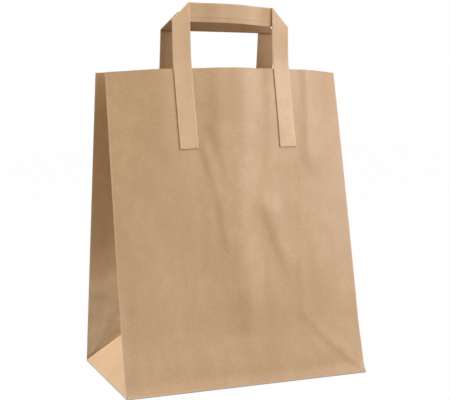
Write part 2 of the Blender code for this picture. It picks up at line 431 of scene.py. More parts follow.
    def triangle_tilt(self) -> float:
        """Work out the inward tilt of a base triangle at which the gusset keeps its width.

        Returns:
            The tilt from upright.
        """
        front = self.face(Side.FRONT, -self.half_width, self.half_depth)
        rear = self.face(Side.REAR, -self.half_width, self.half_depth)
        half_gap = (rear.y - front.y) / 2
        rise = (rear.z + front.z) / 2 - self.lift
        return math.acos((half_gap**2 + rise**2) / (2 * rise * self.half_depth))

    def gusset_relief(self, fold: Vector, crease: Vector, share: float, s: float) -> Vector:
        """Work out the small step off a gusset's flat paper where it has been dented.

        Args:
            fold: The panel's fold at this height.
            crease: The next crease at this height.
            share: Place between the two.
            s: Place up the paper.

        Returns:
            The step in space.
        """
        across = crease - fold
        normal = across.cross(Vector((0.0, 0.0, 1.0))).normalized()
        seed = fold.x * self.dent_seed[0] + fold.y * self.dent_seed[1]
        spot = Vector((share * self.dents_across, s / self.dent_pitch, seed))
        dent = noise.noise(spot) + self.small_dent.height(spot)
        held = 4 * share * (1 - share) * min(across.length / self.half_depth, 1.0)
        return normal * dent * held * self.dent_height

    def crease(self, hand: Hand, s: float) -> Vector:
        """Place a point of a gusset's middle crease, above its base triangle.

        Args:
            hand: The gusseted side.
            s: Place up the paper.

        Returns:
            The point in space.
        """
        corner = hand.value * self.half_width
        low = [self.face(side, corner, self.half_depth).z for side in Side]
        dip = sum(low) / 2 - self.lift - self.half_depth * math.cos(self.triangle_tilt())
        front = self.face(Side.FRONT, corner, s)
        rear = self.face(Side.REAR, corner, s)
        half_gap = (rear - front).length / 2
        depth = math.sqrt(self.half_depth**2 - half_gap**2 - dip**2)
        middle = (front + rear) / 2
        settled = smooth_step((s - self.half_depth) / self.half_depth)
        return Vector((middle.x - hand.value * depth, middle.y * settled, middle.z - dip))

    def triangle(self, hand: Hand, y: float, s: float) -> Vector:
        """Place a point of a side's base triangle.

        Args:
            hand: The gusseted side.
            y: Place along the side.
            s: Place up the paper.

        Returns:
            The point in space.
        """
        tilt = self.triangle_tilt()
        reach = self.half_width - s * math.sin(tilt)
        return Vector((hand.value * reach, y, self.lift + s * math.cos(tilt)))

    def gusset(self, side: Side, hand: Hand, share: float, s: float) -> Vector:
        """Place a point of the gusset paper between a panel's fold and the next crease.

        Args:
            side: The panel that the paper is folded in from.
            hand: The gusseted side.
            share: Place between the fold (0) and the crease (1).
            s: Place up the paper.

        Returns:
            The point in space.
        """
        fold = self.face(side, hand.value * self.half_width, s)
        if s < self.half_depth:
            crease = self.triangle(hand, side.value * (self.half_depth - s), s)
        else:
            crease = self.crease(hand, s)
        return fold.lerp(crease, share) + self.gusset_relief(fold, crease, share, s)


class NodeBench:
    """Lays out the nodes of one material."""

    def __init__(self, name: str) -> None:
        """Make an empty node material.

        Args:
            name: The material's name.
        """
        self.material = bpy.data.materials.new(name)
        self.material.use_nodes = True
        self.nodes = self.material.node_tree.nodes
        self.links = self.material.node_tree.links
        self.shader = self.nodes["Principled BSDF"]

    def add(self, kind: str, **settings: object) -> bpy.types.Node:
        """Add a node and set its properties.

        Args:
            kind: The node's type name.
            **settings: Properties of the node by name.

        Returns:
            The new node.
        """
        node = self.nodes.new(kind)
        for name, value in settings.items():
            setattr(node, name, value)
        return node

    def join(self, start: Socket, end: Socket) -> None:
        """Link an output to an input."""
        self.links.new(start, end)

    def noise(self, source: Socket, scale: tuple[float, float], detail: float, seed: float) -> Socket:
        """Add a noise stretched over the flat sheet.

        Args:
            source: Coordinates on the sheet, in metres.
            scale: Patches per metre across and up the sheet.
            detail: Number of finer layers.
            seed: Offset that tells one noise from another.

        Returns:
            The noise's value socket.
        """
        mapping = self.add("ShaderNodeMapping")
        mapping.inputs["Scale"].default_value = (scale[0], scale[1], 1.0)
        mapping.inputs["Location"].default_value = (seed, seed * SEED_RATIO, 0.0)
        self.join(source, mapping.inputs["Vector"])
        texture = self.add("ShaderNodeTexNoise", noise_dimensions="2D")
        texture.inputs["Scale"].default_value = 1.0
        texture.inputs["Detail"].default_value = detail
        self.join(mapping.outputs["Vector"], texture.inputs["Vector"])
        return texture.outputs["Fac"]

    def spread(self, source: Socket, low: float, high: float, start: float, end: float) -> Socket:
        """Map a value from one range to another, held at both ends.

        Args:
            source: The value.
            low: Input that gives start.
            high: Input that gives end.
            start: Output at low.
            end: Output at high.

        Returns:
            The mapped value's socket.
        """
        node = self.add("ShaderNodeMapRange", clamp=True)
        for name, value in (("From Min", low), ("From Max", high), ("To Min", start), ("To Max", end)):
            node.inputs[name].default_value = value
        self.join(source, node.inputs["Value"])
        return node.outputs["Result"]

    def tint(self, colour: Socket | Colour, other: Colour, amount: Socket) -> Socket:
        """Mix a colour towards another.

        Args:
            colour: A colour socket, or a plain colour.
            other: The plain colour to mix in.
            amount: Share of the other colour.

        Returns:
            The mixed colour's socket.
        """
        mix = self.add("ShaderNodeMix", data_type="RGBA")
        if isinstance(colour, Socket):
            self.join(colour, mix.inputs["A"])
        else:
            mix.inputs["A"].default_value = (*colour, 1.0)
        mix.inputs["B"].default_value = (*other, 1.0)
        self.join(amount, mix.inputs["Factor"])
        return mix.outputs["Result"]


@dataclass(frozen=True)
class PaperLayer:
    """One noise over the flat sheet, and how strongly it turns the paper towards another colour.

    Attributes:
        scale: Patches per metre across and up the sheet.
        detail: Number of finer layers.
        seed: Offset that tells one noise from another.
        low: Noise value up to which the paper keeps its colour.
        high: Noise value from which it turns fully.
        share: Share of the other colour there.
    """

    scale: tuple[float, float]
    detail: float
    seed: float
    low: float
    high: float
    share: float


@dataclass(frozen=True)
class KraftFinish:
    """Uncoated kraft paper: mottled pulp, fine upright ribs, flecks and paler folds.

    The mark "wear" makes folds and edges paler, partly worn paper and partly a painted highlight, and paints
    light low on the gussets and over their triangles.
    The mark "inner" paints shade in the depth of a fold and on the tape's inner sides, and darkens the tape's
    back where it shows.
    """

    name: str
    base: Colour = (0.58, 0.366, 0.185)
    shade: Colour = (0.50, 0.312, 0.150)
    fleck: Colour = (0.30, 0.18, 0.09)
    # pale: light fibres and worn folds, also the painted highlight along edges and the painted light on the
    # gussets' feet and triangles.
    pale: Colour = (0.64, 0.46, 0.30)
    # inner: painted shade in fold depths and on the tape's inner sides, and the tape's darker back.
    inner: Colour = (0.26, 0.135, 0.045)
    cloud: PaperLayer = PaperLayer((22.0, 15.0), detail=4.0, seed=2.0, low=0.36, high=0.66, share=0.75)
    mottle: PaperLayer = PaperLayer((105.0, 70.0), detail=3.0, seed=23.0, low=0.38, high=0.64, share=0.50)
    ribs: PaperLayer = PaperLayer((1 / 0.0022, 16.0), detail=2.0, seed=7.0, low=0.40, high=0.70, share=0.10)
    grain: PaperLayer = PaperLayer((260.0, 240.0), detail=3.0, seed=13.0, low=0.40, high=0.66, share=0.25)
    pulp: PaperLayer = PaperLayer((820.0, 700.0), detail=3.0, seed=11.0, low=0.52, high=0.76, share=0.17)
    specks: PaperLayer = PaperLayer((1300.0, 900.0), detail=1.0, seed=17.0, low=0.72, high=0.80, share=0.45)
    hairs: PaperLayer = PaperLayer((1500.0, 420.0), detail=1.0, seed=19.0, low=0.64, high=0.74, share=0.55)
    wear_share: float = 0.60
    inner_share: float = 1.0
    roughness: float = 0.50
    specular: float = 0.55
    bump: float = 0.35
    rib_relief: float = 0.00006
    grain_relief: float = 0.00010
    pulp_relief: float = 0.00004

    def material(self) -> bpy.types.Material:
        """Build the paper's node material.

        Returns:
            The material.
        """
        bench = NodeBench(self.name)
        sheet = bench.add("ShaderNodeUVMap", uv_map="sheet").outputs["UV"]
        layers = (
            (self.cloud, self.shade),
            (self.mottle, self.shade),
            (self.ribs, self.shade),
            (self.grain, self.shade),
            (self.pulp, self.fleck),
            (self.specks, self.fleck),
            (self.hairs, self.pale),
        )
        colour = self.base
        values = {}
        for layer, other in layers:
            values[layer] = bench.noise(sheet, layer.scale, layer.detail, layer.seed)
            amount = bench.spread(values[layer], layer.low, layer.high, 0.0, layer.share)
            colour = bench.tint(colour, other, amount)
        # The marks paint the pale colour (worn paper, painted highlight, painted light) and the inner colour
        # (painted shade, the tape's darker back).
        marks = (("wear", self.pale, self.wear_share), ("inner", self.inner, self.inner_share))
        for mark, other, share in marks:
            value = bench.add("ShaderNodeAttribute", attribute_name=mark).outputs["Fac"]
            colour = bench.tint(colour, other, bench.spread(value, 0.0, 1.0, 0.0, share))
        bench.join(colour, bench.shader.inputs["Base Color"])
        bench.shader.inputs["Roughness"].default_value = self.roughness
        bench.shader.inputs["Specular IOR Level"].default_value = self.specular
        reliefs = (
            (self.ribs, self.rib_relief),
            (self.grain, self.grain_relief),
            (self.pulp, self.pulp_relief),
        )
        normal = None
        for layer, reach in reliefs:
            normal = self._bump(bench, values[layer], reach, normal)
        bench.join(normal, bench.shader.inputs["Normal"])
        return bench.material

    def _bump(self, bench: NodeBench, height: Socket, reach: float, before: Socket | None) -> Socket:
        """Add a bump.

        Args:
            bench: The material being built.
            height: Height of the relief, 0 to 1.
            reach: Height in metres that 1 stands for.
            before: Normal of an earlier bump, if any.

        Returns:
            The bump's normal socket.
        """
        node = bench.add("ShaderNodeBump")
        node.inputs["Strength"].default_value = self.bump
        node.inputs["Distance"].default_value = reach
        bench.join(height, node.inputs["Height"])
        if before is not None:
            bench.join(before, node.inputs["Normal"])
        return node.outputs["Normal"]


def deselect_all() -> None:
    """Leave nothing selected."""
    bpy.ops.object.select_all(action="DESELECT")


def activate(piece: bpy.types.Object) -> None:
    """Make one piece the only selected and active one.

    Args:
        piece: The piece.
    """
    deselect_all()
    piece.select_set(True)
    bpy.context.view_layer.objects.active = piece


def folded_patch(
    name: str,
    columns: Sequence[float],
    rows: Sequence[float],
    place: Place,
    flat: FlatPlace,
    **marks: Amount,
) -> bpy.types.Object:
    """Lay a grid of paper and fold it to its place.

    Args:
        name: Name of the new object.
        columns: Values across the patch.
        rows: Values up the patch.
        place: Gives the point in space of a column and a row.
        flat: Gives their place on the flat sheet.
        **marks: By name, what gives each mark on the paper there, 0 to 1.

    Returns:
        The patch.
    """
    deselect_all()
    last_column = len(columns) - 1
    last_row = len(rows) - 1
    # The grid spans -0.5 to 0.5 both ways, and each of its points is moved to its place.
    bpy.ops.mesh.primitive_grid_add(x_subdivisions=last_column, y_subdivisions=last_row, size=1.0)
    patch = bpy.context.object
    patch.name = name
    mesh = patch.data
    mesh.uv_layers[0].name = "sheet"
    for mark in marks:
        mesh.attributes.new(mark, "FLOAT", "POINT")
    spots = []
    for vert in mesh.vertices:
        column = columns[round((vert.co.x + 0.5) * last_column)]
        row = rows[round((vert.co.y + 0.5) * last_row)]
        spots.append((column, row))
        vert.co = place(column, row)
    for mark, amount in marks.items():
        layer = mesh.attributes[mark].data
        for index, spot in enumerate(spots):
            layer[index].value = amount(*spot)
    for loop in mesh.loops:
        mesh.uv_layers["sheet"].data[loop.index].uv = flat(*spots[loop.vertex_index])
    return patch


def joined(name: str, patches: Sequence[bpy.types.Object]) -> bpy.types.Object:
    """Join patches into one mesh and merge the edges they share.

    Args:
        name: Name of the joined object.
        patches: The patches.

    Returns:
        The joined object.
    """
    deselect_all()
    for patch in patches:
        patch.select_set(True)
    bpy.context.view_layer.objects.active = patches[0]
    bpy.ops.object.join()
    whole = bpy.context.object
    whole.name = name
    whole.data.name = name
    bpy.ops.object.mode_set(mode="EDIT")
    bpy.ops.mesh.select_all(action="SELECT")
    bpy.ops.mesh.remove_doubles(threshold=MERGE_DISTANCE)
    bpy.ops.mesh.dissolve_degenerate(threshold=SHORTEST_EDGE)
    bpy.ops.mesh.select_all(action="SELECT")
    bpy.ops.mesh.normals_make_consistent(inside=False)
    bpy.ops.object.mode_set(mode="OBJECT")
    return whole


def apply_modifiers(piece: bpy.types.Object) -> None:
    """Apply every modifier on a piece, in order.

    Args:
        piece: The piece.
    """
    activate(piece)
    for name in [modifier.name for modifier in piece.modifiers]:
        bpy.ops.object.modifier_apply(modifier=name)


def near_line(distance: float, breadth: float) -> float:
    """Return 1 on a line, falling off to 0 over a few breadths."""
    return math.exp(-((distance / breadth) ** 2))


@dataclass
class BagBody:
    """The folded and glued sheet: two wide panels, two gussets, the base and its flaps."""

    fold: SheetFold
    finish: KraftFinish
    panel_steps: int = 84
    gusset_steps: int = 20
    foot_steps: int = 24
    upper_steps: int = 76
    strip_steps: int = 4
    near: tuple[float, ...] = (0.0005, 0.0014)
    seam_clear: float = 0.25
    smooth_angle: float = math.radians(24)
    # Paler paper along worn folds and at the seam, with a painted highlight there too, and painted light low
    # on the gussets and over their triangles.
    wear_breadth: float = 0.0009
    seam_wear: float = 0.5
    painted_light_height: float = 0.125
    painted_light_fade: float = 0.060
    painted_light_level: float = 0.7
    patches_across: float = 5.0
    patch_pitch: float = 0.012
    triangle_wear: float = 0.55
    triangle_mottle: float = 0.2
    # Painted shade in the depth of a gusset's lowest fold.
    tuck_breadth: float = 0.0035
    tuck_height: float = 0.055
    tuck_painted_shade: float = 0.8
    # The two flaps under the base.
    flap_overlap: float = 0.020
    flap_inset: float = 0.0006
    flap_share: float = 0.92
    flap_steps: tuple[int, int] = (40, 20)
    flap_wear: float = 0.6
    rows: list[float] = field(init=False)
    columns: list[float] = field(init=False)
    shares: list[float] = field(init=False)

    def __post_init__(self) -> None:
        """Work out the grid lines that the patches share."""
        fold = self.fold
        foot = edged(fold.strip_height, fold.half_depth, self.foot_steps, self.near)
        upper = edged(fold.half_depth, fold.height, self.upper_steps, self.near)
        strip = edged(0.0, fold.strip_height, self.strip_steps, self.near)
        self.rows = strip + foot[1:] + upper[1:]
        seam = fold.seam_lines()
        clear = fold.width / self.panel_steps * self.seam_clear
        plain = edged(-fold.half_width, fold.half_width, self.panel_steps, self.near)
        self.columns = sorted([x for x in plain if all(abs(x - line) > clear for line in seam)] + list(seam))
        steps = edged(0.0, fold.half_depth, self.gusset_steps, self.near)
        self.shares = [step / fold.half_depth for step in steps]

    def build(self) -> bpy.types.Object:
        """Build the whole sheet as one closed paper shell.

        Returns:
            The bag's body.
        """
        patches = [self._panel(side) for side in Side]
        for hand in Hand:
            patches += [self._gusset(side, hand) for side in Side]
            patches.append(self._triangle(hand))
        patches.append(self._base())
        body = joined("bag_sheet", patches)
        self._thicken(body)
        whole = joined("bag_sheet", [body, *self._flaps()])
        self._dress(whole)
        return whole

    def _panel(self, side: Side) -> bpy.types.Object:
        """Lay one wide panel.

        Args:
            side: The panel.

        Returns:
            Its patch.
        """
        fold = self.fold
        girth = 0.0 if side is Side.FRONT else fold.width + fold.depth

        def wear(x: float, s: float) -> float:
            """Measure how pale the paper is along the panel's folds, its pressed lines or its seam: worn
            paper and a painted highlight.

            Args:
                x: Place across the panel.
                s: Place up the paper.

            Returns:
                The paleness, 0 to 1.
            """
            upright = near_line(fold.half_width - abs(x), self.wear_breadth)
            folds = max(upright, near_line(s, self.wear_breadth))
            if side is Side.REAR:
                return max(folds, self.seam_wear * near_line(x - fold.seam_lines()[0], self.wear_breadth))
            return max(folds, *[crease.wear * crease.strength(x, s) for crease in fold.creases])

        return folded_patch(
            f"{side.name.lower()}_panel",
            self.columns,
            self.rows,
            lambda x, s: fold.point(side, x, s),
            lambda x, s: (girth - side.value * x, s),
            wear=wear,
        )

    def _patchiness(self, share: float, s: float, seed: float) -> float:
        """Return how far the painted light at a place is from the level around it, about -1 to 1."""
        return noise.noise(Vector((share * self.patches_across, s / self.patch_pitch, seed)))

    def _gusset(self, side: Side, hand: Hand) -> bpy.types.Object:
        """Lay one upright half of a gusset.

        Args:
            side: The panel that it is folded in from.
            hand: The gusseted side.

        Returns:
            Its patch.
        """
        fold = self.fold
        start = fold.half_width if side is Side.FRONT else fold.half_width + fold.depth

        def breadth(s: float) -> float:
            """Return the width of the paper between the panel's fold and the next crease."""
            return min(s, fold.half_depth)

        def wear(share: float, s: float) -> float:
            """Measure how pale the paper is along both folds, worn and with a painted highlight, and low
            down, as painted light on the foot of the gusset.

            Args:
                share: Place between the panel's fold and the next crease.
                s: Place up the paper.

            Returns:
                The paleness, 0 to 1.
            """
            edge = near_line(share * breadth(s), self.wear_breadth)
            middle = near_line((1 - share) * breadth(s), self.wear_breadth)
            level = self.painted_light_level + self._patchiness(share, s, start)
            painted_light = smooth_step((self.painted_light_height - s) / self.painted_light_fade) * level
            return max(edge, middle, min(painted_light, 1.0))

        def inner(share: float, s: float) -> float:
            """Return the painted shade in the depth of the lowest fold, by how deep a place lies, 0 to 1."""
            closeness = near_line((1 - share) * breadth(s), self.tuck_breadth)
            return self.tuck_painted_shade * closeness * smooth_step((self.tuck_height - s) / self.tuck_height)

        return folded_patch(
            f"{hand.name.lower()}_{side.name.lower()}_gusset",
            self.shares,
            self.rows,
            lambda share, s: fold.gusset(side, hand, share, s),
            lambda share, s: (hand.value * (start - side.value * share * breadth(s)), s),
            wear=wear,
            inner=inner,
        )

    def _triangle_shares(self) -> list[float]:
        """Return places across a base triangle, -1 to 1."""
        steps = edged(-self.fold.half_depth, self.fold.half_depth, 2 * self.gusset_steps, self.near)
        return [step / self.fold.half_depth for step in steps]

    def _triangle(self, hand: Hand) -> bpy.types.Object:
        """Lay the triangle at the foot of a gusset.

        Args:
            hand: The gusseted side.

        Returns:
            Its patch.
        """
        fold = self.fold
        start = fold.half_width + fold.half_depth

        def wear(share: float, s: float) -> float:
            """Measure how pale the paper is along the triangle's folds, worn and with a painted highlight,
            and over its face, as painted light.

            Args:
                share: Place across the triangle, -1 to 1.
                s: Place up the paper.

            Returns:
                The paleness, 0 to 1.
            """
            slant = (1 - abs(share)) * (fold.half_depth - s) / math.sqrt(2)
            painted_light = self.triangle_wear + self.triangle_mottle * self._patchiness(share, s, start)
            return max(near_line(slant, self.wear_breadth), near_line(s, self.wear_breadth), painted_light)

        return folded_patch(
            f"{hand.name.lower()}_triangle",
            self._triangle_shares(),
            [s for s in self.rows if s <= fold.half_depth],
            lambda share, s: fold.triangle(hand, share * (fold.half_depth - s), s),
            lambda share, s: (hand.value * (start + share * (fold.half_depth - s)), s),
            wear=wear,
        )

    def _base(self) -> bpy.types.Object:
        """Lay the base between the panels' feet.

        Returns:
            Its patch.
        """
        fold = self.fold

        def wear(x: float, y: float) -> float:
            """Return how pale the paper is along the base's folds, worn and with a painted highlight, 0 to 1.
            """
            return near_line(min(fold.half_width - abs(x), fold.half_depth - abs(y)), self.wear_breadth)

        return folded_patch(
            "base",
            self.columns,
            [share * fold.half_depth for share in self._triangle_shares()],
            lambda x, y: Vector((x, y, fold.lift)),
            lambda x, y: (x, -fold.half_depth - y),
            wear=wear,
        )

    def _thicken(self, body: bpy.types.Object) -> None:
        """Give the sheet its thickness, inwards from the outer face.

        Args:
            body: The joined sheet, still without thickness.
        """
        wall = body.modifiers.new("paper", "SOLIDIFY")
        wall.thickness = self.fold.paper
        wall.offset = -1
        wall.use_even_offset = True
        apply_modifiers(body)

    def _flaps(self) -> list[bpy.types.Object]:
        """Lay the two mitred flaps that close the base from below, the rear one outermost.

        Returns:
            The flaps.
        """
        fold = self.fold
        short = fold.half_depth - self.flap_overlap
        long = fold.half_depth + self.flap_overlap
        return [self._flap(Side.FRONT, short, fold.paper), self._flap(Side.REAR, long, 0.0)]

    def _flap(self, side: Side, reach: float, bottom: float) -> bpy.types.Object:
        """Lay one flap.

        Args:
            side: The panel that it is folded in from.
            reach: How far it comes in from that panel's foot.
            bottom: Height of its lower face.

        Returns:
            The flap, with its thickness.
        """
        fold = self.fold
        inset = self.flap_inset

        def place(across: float, inward: float) -> Vector:
            """Return the point in space of a place on the flap."""
            half = fold.half_width - 2 * inset - inward
            return Vector((across * half, side.value * (fold.half_depth - inset - inward), bottom))

        def flat(across: float, inward: float) -> tuple[float, float]:
            """Return its place on the flat sheet."""
            return across * (fold.half_width - inward), -fold.depth - side.value * inward

        def wear(across: float, inward: float) -> float:
            """Return how pale the paper is along the flap's slanted edges, worn and with a painted highlight,
            0 to 1.
            """
            slant = (1 - abs(across)) * (fold.half_width - inward) / math.sqrt(2)
            return self.flap_wear * near_line(slant, self.wear_breadth)

        name = f"{side.name.lower()}_flap"
        columns = spaced(-1, 1, self.flap_steps[0])
        rows = spaced(0, reach - inset, self.flap_steps[1])
        flap = folded_patch(name, columns, rows, place, flat, wear=wear)
        # The front flap's grid faces up and the rear one's down, and both plies grow upwards.
        ply = flap.modifiers.new("ply", "SOLIDIFY")
        ply.thickness = fold.paper * self.flap_share
        ply.offset = -side.value
        apply_modifiers(flap)
        return flap

    def _dress(self, body: bpy.types.Object) -> None:
        """Give the sheet its paper and its smooth faces.

        Args:
            body: The whole sheet, with its flaps.
        """
        body.data.materials.clear()
        body.data.materials.append(self.finish.material())
        activate(body)
        bpy.ops.object.shade_smooth_by_angle(angle=self.smooth_angle)


@dataclass
class TapeSection:
    """One section of a tape laid on a panel.

    Attributes:
        middle: Its middle on the flat panel.
        reach: Half the tape's width, as a step on the panel.
        height: Height of its middle over the panel.
        flat: Step on the panel that the tape's thickness takes, where it turns over.
        facing: Part of the tape's thickness that points off the panel, -1 where it is turned over.
        travelled: Length of tape before it.
    """

    middle: Vector
    reach: Vector
    height: float
    flat: Vector
    facing: float
    travelled: float


@dataclass
class TapeHandle:
    """A folded paper tape, turned over at both upper corners and glued outside a wide panel.

    Attributes:
        offset: Place across the panel of the handle's middle at the rim.
        turn: Lean of the legs towards -X.
        rise: Height of the first corner over the rim, the one towards -X.
        droop: How much lower the second corner is.
        ply: Step at the open ply's edge on the tape's back.
        seam_share: Place of that edge across the tape.
        fold_gap: Air between the tape's two runs where it turns over.
        glued: Length of leg below the rim.
        inner_depth: How much painted shade the inner side of the bar gets, 0 to 1.
        leg_share: The legs' part of that.
        reverse_share: How dark the tape's back is where it shows on the bar.
    """

    name: str
    fold: SheetFold
    side: Side
    finish: KraftFinish
    offset: float
    turn: float
    rise: float
    droop: float
    width: float = 0.0186
    thickness: float = 0.0009
    ply: float = 0.00025
    seam_share: float = 0.24
    edge_round: float = 0.00035
    fold_gap: float = 0.0003
    glue_gap: float = 0.0003
    glued: float = 0.0783
    # Painted shade on the inner sides, and paler long edges and folds, worn and with a painted highlight.
    inner_depth: float = 0.0
    leg_share: float = 0.52
    reverse_share: float = 0.21
    wear_breadth: float = 0.0006
    fold_wear: float = 0.8
    square_facing: float = 0.95
    # The back's place beside the front on the flat tape, and the steps of the mesh.
    back_shift: float = 0.03
    fold_steps: int = 10
    leg_steps: int = 44
    bar_steps: int = 28
    face_steps: int = 10
    ply_steps: int = 3
    ply_slope: float = 0.004
    round_steps: int = 6
    smooth_angle: float = math.radians(35)

    def build(self) -> bpy.types.Object:
        """Build the handle.

        Returns:
            The handle, dressed.
        """
        sections = self._sections()
        profile = self._profile()
        rows = [float(index) for index in range(len(sections))]
        columns = [float(index) for index in range(len(profile))]

        def place(column: float, row: float) -> Vector:
            """Place a point of the tape.

            Args:
                column: Number of the point in the tape's profile.
                row: Number of its section.

            Returns:
                The point in space.
            """
            section = sections[int(row)]
            across, through = profile[int(column)]
            spot = section.middle + section.reach * across + section.flat * through
            return self.fold.point(self.side, spot.x, spot.y, section.height + section.facing * through)

        def flat(column: float, row: float) -> tuple[float, float]:
            """Place a point on the flat tape, with the tape's back beside its front.

            Args:
                column: Number of the point in the tape's profile.
                row: Number of its section.

            Returns:
                The place across and along the flat tape.
            """
            across, through = profile[int(column)]
            shift = self.back_shift if through < 0 else 0.0
            return across * self.width / 2 + shift, sections[int(row)].travelled

        def wear(column: float, row: float) -> float:
            """Measure how pale the tape is along the long edges and round the folds: worn paper and a painted
            highlight.

            Args:
                column: Number of the point in the tape's profile.
                row: Number of its section.

            Returns:
                The paleness, 0 to 1.
            """
            across = profile[int(column)][0]
            turning = abs(sections[int(row)].facing) < self.square_facing
            edge = near_line((1 - abs(across)) * self.width / 2, self.wear_breadth)
            return max(edge, self.fold_wear if turning else 0.0)

        def inner(column: float, row: float) -> float:
            """Measure the painted shade on the tape's inner sides, and the darker tone where its back shows.

            Args:
                column: Number of the point in the tape's profile.
                row: Number of its section.

            Returns:
                The shade, 0 to 1.
            """
            facing = sections[int(row)].facing
            if facing * profile[int(column)][1] < 0:
                return self.inner_depth * (self.leg_share if facing > 0 else 1.0)
            return 0.0 if facing > 0 else self.reverse_share

        tape = folded_patch(self.name, columns, rows, place, flat, wear=wear, inner=inner)
        tape = joined(self.name, [tape])
        bpy.ops.object.mode_set(mode="EDIT")
        bpy.ops.mesh.select_all(action="SELECT")
        bpy.ops.mesh.fill_holes(sides=0)
        bpy.ops.mesh.select_all(action="SELECT")
        bpy.ops.mesh.normals_make_consistent(inside=False)
        bpy.ops.object.mode_set(mode="OBJECT")
        tape.data.materials.append(self.finish.material())
        activate(tape)
        bpy.ops.object.shade_smooth_by_angle(angle=self.smooth_angle)
        return tape

    def _profile(self) -> list[tuple[float, float]]:
        """Draw the tape's section: its front, its back with the open ply's step, and both long edges.

        Returns:
            The points of the closed outline, across (-1 to 1) and through the thickness.
        """
        half = self.thickness / 2
        soft = 2 * self.edge_round / self.width
        seam = -1 + 2 * self.seam_share
        front = [(across, half) for across in spaced(soft - 1, 1 - soft, self.face_steps)]
        right = self._rounded(1, half, half, soft)
        back = [(across, -half) for across in spaced(1 - soft, seam, self.face_steps)]
        open_ply = spaced(seam - self.ply_slope, soft - 1, self.ply_steps)
        flap = [(across, self.ply - half) for across in open_ply]
        left = self._rounded(-1, half - self.ply, half, soft)
        return front + right + back + flap + left + front[:1]

    def _rounded(self, hand: int, low: float, high: float, soft: float) -> list[tuple[float, float]]:
        """Draw one rounded long edge.

        Args:
            hand: 1 for the right edge, -1 for the left.
            low: Depth of the edge behind the section's middle.
            high: Height of the edge before it.
            soft: Reach of the rounding across the tape.

        Returns:
            The points, in the order in which the section runs round the edge.
        """
        middle = (high - low) / 2
        half = (high + low) / 2
        points = []
        for angle in spaced(0.0, math.pi, self.round_steps)[1:-1]:
            across = hand * (1 - soft + soft * math.sin(angle))
            points.append((across, middle + hand * half * math.cos(angle)))
        return points

    def _corners(self) -> tuple[Vector, Vector, Vector, Vector]:
        """Work out the tape's middle line on the sheet.

        Returns:
            The first glued end, the first corner, the second corner and the last glued end.
        """
        half = self.fold.handle_spacing / 2

        def leg(hand: int, up: float) -> Vector:
            """Return a leg's middle at a height over the rim."""
            return Vector((self.offset + hand * half - up * math.tan(self.turn), self.fold.height + up))

        return leg(-1, -self.glued), leg(-1, self.rise), leg(1, self.rise - self.droop), leg(1, -self.glued)

    def _sections(self) -> list[TapeSection]:
        """Lay the tape's sections along its middle line.

        Returns:
            The sections in order, from one glued end to the other.
        """
        first, left, right, last = self._corners()
        near = self.glue_gap + self.thickness / 2
        far = near - self.thickness - self.fold_gap
        leg_clear = 1 - self.width / (left - first).length
        bar_clear = self.width / (right - left).length
        up = spaced(0.0, leg_clear, self.leg_steps)
        down = [1 - share for share in reversed(up)]
        across = spaced(bar_clear, 1 - bar_clear, self.bar_steps)
        sections = self._run(first, left, up, near, 1, 0.0)
        start = (left - first).length
        sections += self._corner(first, left, right, (near, far), 1, start)
        sections += self._run(left, right, across, far, -1, start)
        start += (right - left).length
        sections += self._corner(left, right, last, (far, near), -1, start)
        sections += self._run(right, last, down, near, 1, start)
        return sections

    def _run(
        self,
        start: Vector,
        end: Vector,
        shares: Sequence[float],
        height: float,
        facing: float,
        travelled: float,
    ) -> list[TapeSection]:
        """Lay square sections along a straight stretch.

        Args:
            start: Where the stretch starts on the sheet.
            end: Where it ends.
            shares: Places along it, 0 to 1.
            height: Height of the tape's middle over the panel.
            facing: 1 where the tape's front faces out, -1 where it faces in.
            travelled: Length of tape before the stretch.

        Returns:
            The sections.
        """
        stretch = end - start
        along = stretch.normalized()
        reach = Vector((along.y, -along.x)) * facing * self.width / 2
        level = Vector((0.0, 0.0))
        sections = []
        for share in shares:
            middle = start.lerp(end, share)
            gone = travelled + share * stretch.length
            sections.append(TapeSection(middle, reach, height, level, facing, gone))
        return sections

    def _corner(
        self,
        before: Vector,
        corner: Vector,
        after: Vector,
        heights: tuple[float, float],
        facing: float,
        travelled: float,
    ) -> list[TapeSection]:
        """Lay the sections round a fold that turns the tape over and sends it off another way.

        Args:
            before: Where the stretch that arrives comes from, on the sheet.
            corner: Where the two stretches' middle lines meet.
            after: Where the stretch that leaves goes to.
            heights: Heights of the tape's middle over the panel, arriving and leaving.
            facing: 1 where the tape arrives with its front out, -1 where it arrives turned over.
            travelled: Length of tape before the fold.

        Returns:
            The sections.
        """
        arriving = (corner - before).normalized()
        leaving = (after - corner).normalized()
        crease = (arriving + leaving).normalized()
        slant = abs(arriving.x * crease.y - arriving.y * crease.x)
        reach = crease * (self.width / 2 / slant)
        if reach.dot(Vector((arriving.y, -arriving.x)) * facing) < 0:
            reach = -reach
        outward = (arriving - crease * arriving.dot(crease)).normalized()
        radius = (heights[0] - heights[1]) / 2
        middle = (heights[0] + heights[1]) / 2
        sections = []
        for angle in spaced(0.0, math.pi, self.fold_steps):
            swing = math.sin(angle)
            turned = math.cos(angle)
            centre = corner + outward * abs(radius) * swing
            height = middle + radius * turned
            sections.append(TapeSection(centre, reach, height, outward * swing, facing * turned, travelled))
        return sections


@dataclass(frozen=True)
class SoftLight:
    """A square studio lamp aimed at a point."""

    name: str
    place: tuple[float, float, float]
    aim: tuple[float, float, float]
    size: float
    power: float
    colour: Colour

    def build(self) -> bpy.types.Object:
        """Hang the lamp.

        Returns:
            The lamp.
        """
        lamp = bpy.data.lights.new(self.name, "AREA")
        lamp.shape = "SQUARE"
        lamp.size = self.size
        lamp.energy = self.power
        lamp.color = self.colour
        hung = bpy.data.objects.new(self.name, lamp)
        bpy.context.scene.collection.objects.link(hung)
        hung.location = self.place
        hung.rotation_euler = (Vector(self.aim) - Vector(self.place)).to_track_quat("-Z", "Y").to_euler()
        return hung


